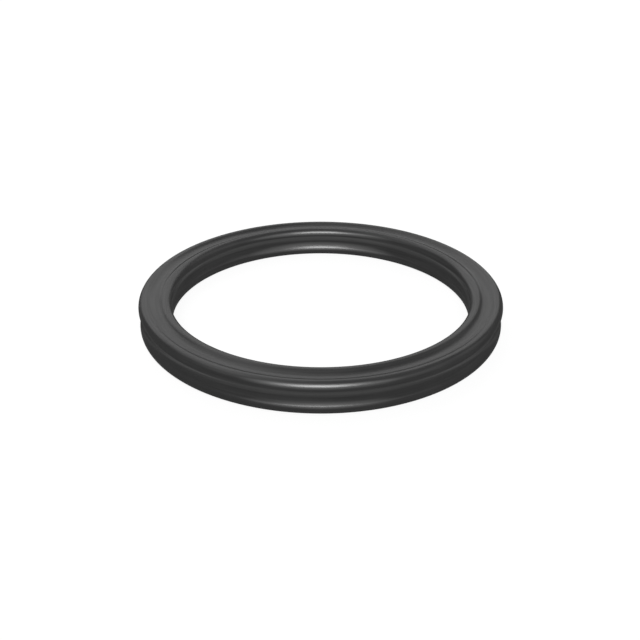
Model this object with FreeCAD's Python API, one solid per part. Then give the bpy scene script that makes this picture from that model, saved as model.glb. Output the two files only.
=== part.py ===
"""A four-lobed seal ring, moulded in one piece of black rubber.

The ring lies flat: its axis is Z, and the origin is its centre. Sizes are in millimetres.
Its section is a square whose corners are round lobes and whose sides are shallow valleys.
"""

import FreeCAD, Part
import math
import os

from FreeCAD import Vector

# Driving dimensions
INNER_DIAMETER = 50.17  # between the inner lobes, across the hole
SECTION = 5.33  # side of the square that the four lobes touch
LOBE_RADIUS = 1.06  # rounding of each sealing lobe
VALLEY_RADIUS = 2.08  # hollow rounding between two lobes

# The section lies in the XZ plane, this far from the ring's axis
MEAN_RADIUS = (INNER_DIAMETER + SECTION) / 2
SECTION_CENTRE = Vector(MEAN_RADIUS, 0, 0)

# Centres of the arcs, from the section's centre: each valley runs into its two lobes without a crease
LOBE_OFFSET = SECTION / 2 - LOBE_RADIUS
CENTRE_DISTANCE = LOBE_RADIUS + VALLEY_RADIUS
VALLEY_OFFSET = LOBE_OFFSET + math.sqrt(CENTRE_DISTANCE**2 - LOBE_OFFSET**2)

# Directions in the section are in degrees, from outward (0) through up (90)
OUTWARD = 0.0
UP = 90.0
DOWN = -90.0
FLANK_ANGLE = math.degrees(math.asin(LOBE_OFFSET / CENTRE_DISTANCE))

SIDES = 4
FULL_TURN = 360.0
RING_CENTRE = Vector(0, 0, 0)
RING_AXIS = Vector(0, 0, 1)
SECTION_NORMAL = Vector(0, -1, 0)


def arc(centre_x, centre_z, radius, first, last):
    """An arc of the section, its centre given from the section's own centre."""
    points = []
    for direction in (first, (first + last) / 2, last):
        angle = math.radians(direction)
        x = centre_x + radius * math.cos(angle)
        z = centre_z + radius * math.sin(angle)
        points.append(SECTION_CENTRE + Vector(x, 0, z))
    return Part.Arc(*points).toShape()


def lobe():
    """The sealing lobe at the outer top corner, out to the valleys on both its sides."""
    return arc(LOBE_OFFSET, LOBE_OFFSET, LOBE_RADIUS, OUTWARD - FLANK_ANGLE, UP + FLANK_ANGLE)


def valley():
    """The hollow on top of the ring, from the outer lobe to the inner one."""
    return arc(0, VALLEY_OFFSET, VALLEY_RADIUS, DOWN + FLANK_ANGLE, DOWN - FLANK_ANGLE)


def ring_section():
    """The closed section: a lobe and a valley, repeated on each side of the square."""
    edges = []
    for side in range(SIDES):
        for edge in (lobe(), valley()):
            edge.rotate(SECTION_CENTRE, SECTION_NORMAL, side * FULL_TURN / SIDES)
            edges.append(edge)
    return Part.Face(Part.Wire(edges))


def seal_ring():
    """The section turned once round the ring's axis."""
    return ring_section().revolve(RING_CENTRE, RING_AXIS, FULL_TURN)


def main():
    ring = seal_ring()
    os.makedirs("parts", exist_ok=True)
    ring.exportStep("parts/seal_ring.step")
    web = 2 * (VALLEY_OFFSET - VALLEY_RADIUS)
    print(f"{ring.ShapeType}, valid {ring.isValid()}, {len(ring.Faces)} faces, {ring.Volume:.2f} mm3")
    print(f"valley depth {(SECTION - web) / 2:.3f} mm, flank {FLANK_ANGLE:.2f} degrees")


main()
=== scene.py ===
"""A four-lobed seal ring of black moulded rubber, on a pale table in soft studio light.

The ring is one mesh built from its section: a square with a round lobe at each corner and a
shallow valley along each side. Its rubber has a satin skin with the fine grain and the faint
turning marks of its mould. Lengths are in metres, and angles in radians apart from the places and
sizes of the softboxes, which are in degrees.
"""

import itertools
import math
import typing

import bpy
from mathutils import Matrix, Vector


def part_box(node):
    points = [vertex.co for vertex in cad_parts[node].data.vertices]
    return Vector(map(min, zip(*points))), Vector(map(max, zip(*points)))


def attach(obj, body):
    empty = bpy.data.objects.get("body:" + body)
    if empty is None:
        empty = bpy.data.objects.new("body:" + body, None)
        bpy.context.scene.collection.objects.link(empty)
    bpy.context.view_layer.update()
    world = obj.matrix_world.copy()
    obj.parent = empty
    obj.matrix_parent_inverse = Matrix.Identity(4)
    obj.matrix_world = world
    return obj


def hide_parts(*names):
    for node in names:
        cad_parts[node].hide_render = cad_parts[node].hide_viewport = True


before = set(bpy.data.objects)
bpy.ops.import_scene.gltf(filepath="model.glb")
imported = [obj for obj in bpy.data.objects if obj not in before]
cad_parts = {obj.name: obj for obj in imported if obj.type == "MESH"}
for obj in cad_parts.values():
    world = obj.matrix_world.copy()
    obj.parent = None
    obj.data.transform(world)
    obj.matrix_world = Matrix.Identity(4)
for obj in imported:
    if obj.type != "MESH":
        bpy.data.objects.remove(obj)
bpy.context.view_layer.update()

bl_info = {
    "name": "Lobed Seal Ring",
    "version": (1, 0, 0),
    "blender": (4, 5, 0),
    "location": "3D View > Sidebar > Seal Ring",
    "description": "Makes a four-lobed rubber seal ring and a plain studio round it",
    "category": "Object",
}

RING_NODE = "seal_ring"
RING_LOW, RING_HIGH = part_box(RING_NODE)

QUARTER_TURN = math.radians(90)
FULL_TURN = math.radians(360)

# The section has the same lobe and valley on each of its sides
SIDES = 4

# The flat map for baking: how many strips the ring's skin is cut into, and the gap between them
SKIN_STRIPS = 3
SKIN_STRIP_GAP = 0.0006

# Each pattern in the rubber's skin: its features in a metre, and the finer layers of noise on them
GRAIN_FINENESS = 9000.0
GRAIN_DETAIL = 3.0
BLOOM_FINENESS = 170.0
BLOOM_DETAIL = 5.0
MARK_FINENESS = 2600.0
MARK_DETAIL = 2.0

# The marks' noise runs round a circle of this radius, which puts about 19 of them in one turn
MARK_CIRCLE = 3.0

# The marks' height as a share of the grain's
MARK_HEIGHT = 0.6

# Nearly all of a noise pattern lies between these
NOISE_LOW = 0.3
NOISE_HIGH = 0.7

# Where in its noise the bloom begins to show, and where it shows in full
BLOOM_BEGINS = 0.4
BLOOM_FULL = 0.65

# How far the patterns change the roughness and the gloss, up and down
BLOOM_ON_ROUGHNESS = 0.02
MARKS_ON_ROUGHNESS = 0.015
MARKS_ON_GLOSS = 0.16

# How far up the skin of a side hollow faces where its stronger gloss is full, and where it ends
HOLLOW_FULL = -0.5
HOLLOW_ENDS = -0.1

# The stronger gloss sets in over this height above the middle of the ring
HOLLOW_FADE = 0.0003

RUBBER_IOR = 1.5

# How edge on the skin is seen, from 0 face on to 1, and how much of its gloss is left there
GLOSS_BY_VIEW = (
    (0.0, 1.0),
    (0.1, 0.36),
    (0.3, 0.25),
    (0.5, 0.08),
    (0.6, 0.033),
    (0.8, 0.003),
    (0.9, 0.0002),
)

WHITE = (1.0, 1.0, 1.0, 1.0)

TABLE_HALF_WIDTH = 0.6

# What the table shows in full shadow, where 1 is white, and the colour that takes light beside that
TABLE_IN_SHADOW = 0.9
TABLE_TAKES_LIGHT = (0.12, 0.12, 0.12, 1.0)

# The camera's place and the point that it looks at, with its lens in millimetres
CAMERA_PLACE = (0, -0.127259, 0.065238)
CAMERA_AIM = (-0.0001128, -0.0068734, 0)
CAMERA_LENS = 47.108
CAMERA_CLIP_START = 0.005
CAMERA_CLIP_END = 10.0

SOFTBOX_DISTANCE = 0.8


class SoftboxPlace(typing.NamedTuple):
    """Where a softbox stands and how large it is, in degrees as the ring sees them."""

    azimuth: float
    elevation: float
    width: float
    height: float


SOFTBOXES = {
    "key": SoftboxPlace(azimuth=0, elevation=40.5, width=29, height=26),
    "fill": SoftboxPlace(azimuth=-42, elevation=59, width=68, height=58),
    "back": SoftboxPlace(azimuth=-175, elevation=23, width=69, height=41),
    "left": SoftboxPlace(azimuth=-140, elevation=57, width=47, height=30),
    "right": SoftboxPlace(azimuth=83, elevation=33, width=71, height=32),
}


class SealRingSizes(bpy.types.PropertyGroup):
    """Sizes of the ring, and how finely its mesh is divided."""

    outer_radius: bpy.props.FloatProperty(
        name="Outer Radius",
        description="From the ring's axis to its outer lobes",
        default=RING_HIGH.x,
        unit="LENGTH",
    )
    section: bpy.props.FloatProperty(
        name="Section",
        description="Side of the square that the four lobes touch",
        default=RING_HIGH.z - RING_LOW.z,
        unit="LENGTH",
    )
    lobe_radius: bpy.props.FloatProperty(
        name="Lobe Radius",
        description="Rounding of each sealing lobe",
        default=0.00106,
        unit="LENGTH",
    )
    valley_radius: bpy.props.FloatProperty(
        name="Valley Radius",
        description="Hollow rounding between two lobes",
        default=0.00208,
        unit="LENGTH",
    )
    turn_steps: bpy.props.IntProperty(
        name="Steps Round the Ring",
        description="How many times the mesh repeats the section, all the way round",
        default=480,
        min=16,
    )
    lobe_steps: bpy.props.IntProperty(
        name="Steps per Lobe",
        description="How many edges follow each lobe of the section",
        default=30,
        min=4,
    )
    valley_steps: bpy.props.IntProperty(
        name="Steps per Valley",
        description="How many edges follow each valley of the section",
        default=14,
        min=2,
    )


class SealRingRubber(bpy.types.PropertyGroup):
    """Colour and skin of the moulded rubber."""

    black: bpy.props.FloatVectorProperty(
        name="Black",
        description="Colour of the clean rubber",
        default=(0.0046, 0.0046, 0.0047),
        subtype="COLOR",
        min=0.0,
        max=1.0,
    )
    bloom: bpy.props.FloatVectorProperty(
        name="Bloom",
        description="Colour where a faint haze has come out of the rubber",
        default=(0.0074, 0.0074, 0.0074),
        subtype="COLOR",
        min=0.0,
        max=1.0,
    )
    roughness: bpy.props.FloatProperty(
        name="Roughness",
        description="How dull the skin is on average",
        default=0.32,
        subtype="FACTOR",
        min=0.0,
        max=1.0,
    )
    gloss: bpy.props.FloatProperty(
        name="Gloss",
        description="Strength of the skin's reflections where it is seen face on",
        default=1.0,
        subtype="FACTOR",
        min=0.0,
        max=1.0,
    )
    hollow_gloss: bpy.props.FloatProperty(
        name="Gloss in the Hollows",
        description="How many times stronger the reflections are where the side hollows turn down",
        default=2.6,
        min=0.0,
    )
    relief: bpy.props.FloatProperty(
        name="Relief",
        description="Height of the grain and marks that the mould leaves",
        default=0.0000003,
        unit="LENGTH",
        precision=6,
    )


class SealRingStudio(bpy.types.PropertyGroup):
    """Brightness of the lights, where 1 is as bright as a white surface, and the table's colour."""

    key: bpy.props.FloatProperty(
        name="Key",
        description="Softbox above the camera, which draws the highlights along the lobes",
        default=8.3,
        min=0.0,
    )
    fill: bpy.props.FloatProperty(
        name="Fill",
        description="Large softbox high in front, left of the key",
        default=0.7,
        min=0.0,
    )
    back: bpy.props.FloatProperty(
        name="Back",
        description="Wide softbox low behind the ring",
        default=2.5,
        min=0.0,
    )
    left: bpy.props.FloatProperty(
        name="Left",
        description="Softbox high on the left, behind the ring",
        default=1.3,
        min=0.0,
    )
    right: bpy.props.FloatProperty(
        name="Right",
        description="Wide softbox on the right",
        default=0.8,
        min=0.0,
    )
    room: bpy.props.FloatProperty(
        name="Room",
        description="Even light from all round",
        default=0.1,
        min=0.0,
    )
    table: bpy.props.FloatVectorProperty(
        name="Table",
        description="Colour of the table that the ring lies on",
        default=(0.75, 0.75, 0.75),
        subtype="COLOR",
        min=0.0,
        max=1.0,
    )


def arc(centre, radius, first, last, steps, bulge):
    """Points along an arc and the way its skin faces there, up to its end, where the next arc starts.

    Bulge is 1 for a lobe, whose skin faces away from the arc's centre, and -1 for a valley.
    """
    points = []
    for step in range(steps):
        angle = first + (last - first) * step / steps
        spoke = Vector((math.cos(angle), math.sin(angle)))
        points.append((Vector(centre) + radius * spoke, bulge * spoke))
    return points


def section_outline(sizes):
    """The closed outline of the section about its own centre: points (outward, up) and facings."""
    lobe_offset = sizes.section / 2 - sizes.lobe_radius
    between_centres = sizes.lobe_radius + sizes.valley_radius
    valley_offset = lobe_offset + math.sqrt(between_centres**2 - lobe_offset**2)
    flank = math.asin(lobe_offset / between_centres)

    lobe_centre = (lobe_offset, lobe_offset)
    lobe_end = QUARTER_TURN + flank
    lobe = arc(lobe_centre, sizes.lobe_radius, -flank, lobe_end, sizes.lobe_steps, 1)
    valley_centre = (0, valley_offset)
    valley_start = flank - QUARTER_TURN
    valley_end = -flank - QUARTER_TURN
    valley = arc(valley_centre, sizes.valley_radius, valley_start, valley_end, sizes.valley_steps, -1)

    outline = []
    for side in range(SIDES):
        turn = Matrix.Rotation(side * QUARTER_TURN, 2)
        outline += [(turn @ point, turn @ facing) for point, facing in lobe + valley]
    return outline


def ring_mesh(sizes):
    """The section's outline carried once round the ring's axis, as a closed mesh of quads.

    Each vertex has the true direction of the skin, so that the light runs smoothly over it.
    """
    outline = section_outline(sizes)
    mean_radius = sizes.outer_radius - sizes.section / 2
    around = len(outline)
    vertices = []
    facings = []
    faces = []
    for step in range(sizes.turn_steps):
        turn = Matrix.Rotation(FULL_TURN * step / sizes.turn_steps, 3, "Z")
        for point, facing in outline:
            vertices.append(turn @ Vector((mean_radius + point.x, 0, point.y)))
            facings.append(turn @ Vector((facing.x, 0, facing.y)))
        here = step * around
        onward = (step + 1) % sizes.turn_steps * around
        for point in range(around):
            beside = (point + 1) % around
            faces.append((here + point, onward + point, onward + beside, here + beside))
    mesh = bpy.data.meshes.new("lobed_ring")
    mesh.from_pydata(vertices, [], faces)
    mesh.shade_smooth()
    mesh.normals_split_custom_set_from_vertices(facings)
    lay_out_skin(mesh, outline, sizes)
    return mesh


def lay_out_skin(mesh, outline, sizes):
    """Gives the ring's mesh a flat map of its skin for baking: strips that each run a part of the
    way round, one above the other, at one scale."""
    points = [point for point, _ in outline]
    onward = points[1:] + points[:1]
    around = [0, *itertools.accumulate((end - start).length for start, end in zip(points, onward))]
    step_length = FULL_TURN * (sizes.outer_radius - sizes.section / 2) / sizes.turn_steps
    strip_steps = math.ceil(sizes.turn_steps / SKIN_STRIPS)
    strip_pitch = around[-1] + SKIN_STRIP_GAP
    side = max(strip_steps * step_length, SKIN_STRIPS * strip_pitch)
    corners = []
    for step in range(sizes.turn_steps):
        strip, along = divmod(step, strip_steps)
        left = along * step_length
        right = left + step_length
        for low, high in itertools.pairwise(strip * strip_pitch + length for length in around):
            corners += [left, low, right, low, right, high, left, high]
    flat_map = mesh.uv_layers.new(name="OFBake")
    flat_map.data.foreach_set("uv", [length / side for length in corners])


class NodeSheet:
    """Adds nodes to a material or to the world, and wires them together."""

    def __init__(self, owner):
        owner.use_nodes = True
        self.tree = owner.node_tree
        self.tree.nodes.clear()

    def add(self, kind, inputs=None, **settings):
        """A new node. Each input is a number, a colour or the output that feeds it."""
        node = self.tree.nodes.new(f"ShaderNode{kind}")
        for name, value in settings.items():
            setattr(node, name, value)
        for name, value in (inputs or {}).items():
            if isinstance(value, bpy.types.NodeSocket):
                self.tree.links.new(value, node.inputs[name])
            else:
                node.inputs[name].default_value = value
        return node

    def math(self, operation, first, second):
        """The output of one sum on two numbers or outputs."""
        return self.add("Math", {0: first, 1: second}, operation=operation).outputs["Value"]

    def remap(self, value, low, high, to_low, to_high):
        """The output of a range turned into another one, held at its ends."""
        inputs = {"Value": value, "From Min": low, "From Max": high, "To Min": to_low, "To Max": to_high}
        return self.add("MapRange", inputs).outputs["Result"]

    def noise(self, place, fineness, detail):
        """The output of noise that is alike in every direction."""
        return self.add("TexNoise", {"Vector": place, "Scale": fineness, "Detail": detail}).outputs["Fac"]

    def vary(self, noise, middle, reach):
        """The output of noise turned into a range that reaches as far below its middle as above it."""
        return self.remap(noise, NOISE_LOW, NOISE_HIGH, middle - reach, middle + reach)

    def curve(self, value, stops):
        """The output of straight lines drawn through the stops, each a value and what it gives."""
        ramp = self.add("ValToRGB", {"Fac": value})
        elements = ramp.color_ramp.elements
        for position, _ in stops[len(elements):]:
            elements.new(position)
        for element, (position, level) in zip(elements, stops):
            element.position = position
            element.color = (level, level, level, 1.0)
        return ramp.outputs["Color"]


def mould_marks(sheet, place):
    """Noise drawn out round the ring, like the turning marks that the mould leaves on it."""
    axes = sheet.add("SeparateXYZ", {"Vector": place}).outputs
    flat = sheet.add("CombineXYZ", {"X": axes["X"], "Y": axes["Y"]}).outputs["Vector"]
    radius = sheet.add("VectorMath", {0: flat}, operation="LENGTH").outputs["Value"]
    heading = sheet.add("VectorMath", {0: flat}, operation="NORMALIZE").outputs["Vector"]
    turned = sheet.add("SeparateXYZ", {"Vector": heading}).outputs
    stretched = sheet.add(
        "CombineXYZ",
        {
            "X": sheet.math("MULTIPLY", turned["X"], MARK_CIRCLE),
            "Y": sheet.math("MULTIPLY", turned["Y"], MARK_CIRCLE),
            "Z": sheet.math("MULTIPLY", radius, MARK_FINENESS),
        },
    ).outputs["Vector"]
    upward = sheet.math("MULTIPLY", axes["Z"], MARK_FINENESS)
    inputs = {"Vector": stretched, "W": upward, "Scale": 1.0, "Detail": MARK_DETAIL}
    return sheet.add("TexNoise", inputs, noise_dimensions="4D").outputs["Fac"]


def under_the_lobes(sheet, coordinates):
    """1 where a side hollow turns down below its upper lobe, and 0 on the rest of the ring."""
    upward = sheet.add("SeparateXYZ", {"Vector": coordinates["Normal"]}).outputs["Z"]
    height = sheet.add("SeparateXYZ", {"Vector": coordinates["Object"]}).outputs["Z"]
    turned_down = sheet.remap(upward, HOLLOW_FULL, HOLLOW_ENDS, 1.0, 0.0)
    upper_half = sheet.remap(height, 0.0, HOLLOW_FADE, 0.0, 1.0)
    return sheet.math("MULTIPLY", turned_down, upper_half)


def rubber_material(look):
    """Black satin rubber with fine grain, marks round the ring and a faint haze of bloom."""
    material = bpy.data.materials.new("moulded_rubber")
    sheet = NodeSheet(material)
    coordinates = sheet.add("TexCoord").outputs
    place = coordinates["Object"]
    marks = mould_marks(sheet, place)
    grain = sheet.noise(place, GRAIN_FINENESS, GRAIN_DETAIL)
    haze = sheet.noise(place, BLOOM_FINENESS, BLOOM_DETAIL)

    shade = sheet.add("ValToRGB", {"Fac": haze})
    clean, hazed = shade.color_ramp.elements
    clean.position, clean.color = BLOOM_BEGINS, (*look.black, 1.0)
    hazed.position, hazed.color = BLOOM_FULL, (*look.bloom, 1.0)

    haze_dulls = sheet.vary(haze, look.roughness, BLOOM_ON_ROUGHNESS)
    mark_dulls = sheet.vary(marks, 0.0, MARKS_ON_ROUGHNESS)
    roughness = sheet.math("ADD", haze_dulls, mark_dulls)

    edge = sheet.add("LayerWeight").outputs["Facing"]
    share = sheet.curve(edge, GLOSS_BY_VIEW)
    streaks = sheet.vary(marks, look.gloss, MARKS_ON_GLOSS)
    hollows = sheet.remap(under_the_lobes(sheet, coordinates), 0.0, 1.0, 1.0, look.hollow_gloss)
    gloss = sheet.math("MULTIPLY", sheet.math("MULTIPLY", share, streaks), hollows)

    height = sheet.math("ADD", grain, sheet.math("MULTIPLY", marks, MARK_HEIGHT))
    bump = sheet.add("Bump", {"Height": height, "Strength": 1.0, "Distance": look.relief})
    rubber = sheet.add(
        "BsdfPrincipled",
        {
            "Base Color": shade.outputs["Color"],
            "Roughness": roughness,
            "IOR": RUBBER_IOR,
            "Specular IOR Level": gloss,
            "Normal": bump.outputs["Normal"],
        },
    )
    sheet.add("OutputMaterial", {"Surface": rubber.outputs["BSDF"]})
    return material


def seen_or_mirrored(sheet):
    """1 for rays that come from the camera, a shiny surface or through glass, and 0 for the rest."""
    rays = sheet.add("LightPath").outputs
    mirrored = sheet.math("MAXIMUM", rays["Is Glossy Ray"], rays["Is Transmission Ray"])
    return sheet.math("MAXIMUM", rays["Is Camera Ray"], mirrored)


def table_material(colour):
    """A pale table that shows as white, with only a faint shadow, and lights the ring as it would."""
    material = bpy.data.materials.new("pale_table")
    sheet = NodeSheet(material)
    plain = sheet.add("BsdfDiffuse", {"Color": (*colour, 1.0)})
    shadowed = sheet.add("BsdfDiffuse", {"Color": TABLE_TAKES_LIGHT})
    white = sheet.add("Emission", {"Color": WHITE, "Strength": TABLE_IN_SHADOW})
    shown = sheet.add("AddShader", {0: shadowed.outputs["BSDF"], 1: white.outputs["Emission"]})
    surface = sheet.add(
        "MixShader",
        {0: seen_or_mirrored(sheet), 1: plain.outputs["BSDF"], 2: shown.outputs["Shader"]},
    )
    sheet.add("OutputMaterial", {"Surface": surface.outputs["Shader"]})
    return material


def make_table(colour):
    """The table top, level with the underside of the ring."""
    half = TABLE_HALF_WIDTH
    corners = [(-half, -half, 0), (half, -half, 0), (half, half, 0), (-half, half, 0)]
    mesh = bpy.data.meshes.new("table")
    mesh.from_pydata(corners, [], [(0, 1, 2, 3)])
    mesh.materials.append(table_material(colour))
    table = bpy.data.objects.new("table", mesh)
    table.location.z = RING_LOW.z
    bpy.context.collection.objects.link(table)


def direction(azimuth, elevation):
    """Unit vector from the ring's centre. Azimuth is 0 towards the camera and grows to its right."""
    level = math.cos(elevation)
    return Vector((math.sin(azimuth) * level, -math.cos(azimuth) * level, math.sin(elevation)))


def make_softbox(name, place, brightness):
    """A rectangular lamp that faces the ring, with its brightness in multiples of white."""
    lamp = bpy.data.lights.new(name, "AREA")
    lamp.shape = "RECTANGLE"
    lamp.size = 2 * SOFTBOX_DISTANCE * math.tan(math.radians(place.width / 2))
    lamp.size_y = 2 * SOFTBOX_DISTANCE * math.tan(math.radians(place.height / 2))
    lamp.energy = brightness * math.pi * lamp.size * lamp.size_y
    softbox = bpy.data.objects.new(name, lamp)
    towards = direction(math.radians(place.azimuth), math.radians(place.elevation))
    softbox.location = towards * SOFTBOX_DISTANCE
    softbox.rotation_euler = towards.to_track_quat("Z", "Y").to_euler()
    softbox.visible_camera = False
    bpy.context.collection.objects.link(softbox)


def make_room(brightness):
    """Even light from all round, which shows as white wherever it is seen or mirrored."""
    world = bpy.data.worlds.new("room")
    bpy.context.scene.world = world
    sheet = NodeSheet(world)
    light = sheet.add("Background", {"Color": WHITE, "Strength": brightness})
    white = sheet.add("Background", {"Color": WHITE, "Strength": 1.0})
    surface = sheet.add(
        "MixShader",
        {0: seen_or_mirrored(sheet), 1: light.outputs["Background"], 2: white.outputs["Background"]},
    )
    sheet.add("OutputWorld", {"Surface": surface.outputs["Shader"]})


def make_camera():
    """The camera, low in front of the ring, as in the photograph."""
    lens = bpy.data.cameras.new("camera")
    lens.lens = CAMERA_LENS
    lens.clip_start = CAMERA_CLIP_START
    lens.clip_end = CAMERA_CLIP_END
    camera = bpy.data.objects.new("camera", lens)
    camera.location = CAMERA_PLACE
    away = camera.location - Vector(CAMERA_AIM)
    camera.rotation_euler = away.to_track_quat("Z", "Y").to_euler()
    bpy.context.collection.objects.link(camera)
    bpy.context.scene.camera = camera


class SEALRING_OT_mould(bpy.types.Operator):
    """Make the rubber ring in the place of the plain one"""

    bl_idname = "seal_ring.mould"
    bl_label = "Mould the Ring"

    def execute(self, context):
        ring = bpy.data.objects.new("lobed_ring", ring_mesh(context.scene.seal_ring_sizes))
        ring.data.materials.append(rubber_material(context.scene.seal_ring_rubber))
        context.collection.objects.link(ring)
        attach(ring, "root")
        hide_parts(RING_NODE)
        # The photograph shows no reflection of one part of the ring in another
        ring.visible_glossy = False
        return {"FINISHED"}


class SEALRING_OT_studio(bpy.types.Operator):
    """Set up the table, the lights and the camera"""

    bl_idname = "seal_ring.studio"
    bl_label = "Set Up the Studio"

    def execute(self, context):
        studio = context.scene.seal_ring_studio
        make_table(studio.table)
        make_room(studio.room)
        for name, place in SOFTBOXES.items():
            make_softbox(f"{name}_softbox", place, getattr(studio, name))
        make_camera()
        context.scene.view_settings.view_transform = "Standard"
        return {"FINISHED"}


class SEALRING_PT_panel(bpy.types.Panel):
    """Sizes, rubber and lights, and the two steps that use them"""

    bl_label = "Seal Ring"
    bl_idname = "SEALRING_PT_panel"
    bl_space_type = "VIEW_3D"
    bl_region_type = "UI"
    bl_category = "Seal Ring"

    def draw(self, context):
        for group in (context.scene.seal_ring_sizes, context.scene.seal_ring_rubber):
            self.list_settings(group)
        self.layout.operator(SEALRING_OT_mould.bl_idname)
        self.list_settings(context.scene.seal_ring_studio)
        self.layout.operator(SEALRING_OT_studio.bl_idname)

    def list_settings(self, group):
        column = self.layout.column()
        for name in group.__annotations__:
            column.prop(group, name)


CLASSES = (
    SealRingSizes,
    SealRingRubber,
    SealRingStudio,
    SEALRING_OT_mould,
    SEALRING_OT_studio,
    SEALRING_PT_panel,
)


def register():
    """Adds the classes to Blender, and the settings to its scenes."""
    for cls in CLASSES:
        bpy.utils.register_class(cls)
    bpy.types.Scene.seal_ring_sizes = bpy.props.PointerProperty(type=SealRingSizes)
    bpy.types.Scene.seal_ring_rubber = bpy.props.PointerProperty(type=SealRingRubber)
    bpy.types.Scene.seal_ring_studio = bpy.props.PointerProperty(type=SealRingStudio)


def unregister():
    """Takes the settings and the classes out again, in the opposite order."""
    del bpy.types.Scene.seal_ring_studio
    del bpy.types.Scene.seal_ring_rubber
    del bpy.types.Scene.seal_ring_sizes
    for cls in reversed(CLASSES):
        bpy.utils.unregister_class(cls)


def main():
    """Makes the ring and its studio."""
    register()
    bpy.ops.seal_ring.mould()
    bpy.ops.seal_ring.studio()


if __name__ == "__main__":
    main()
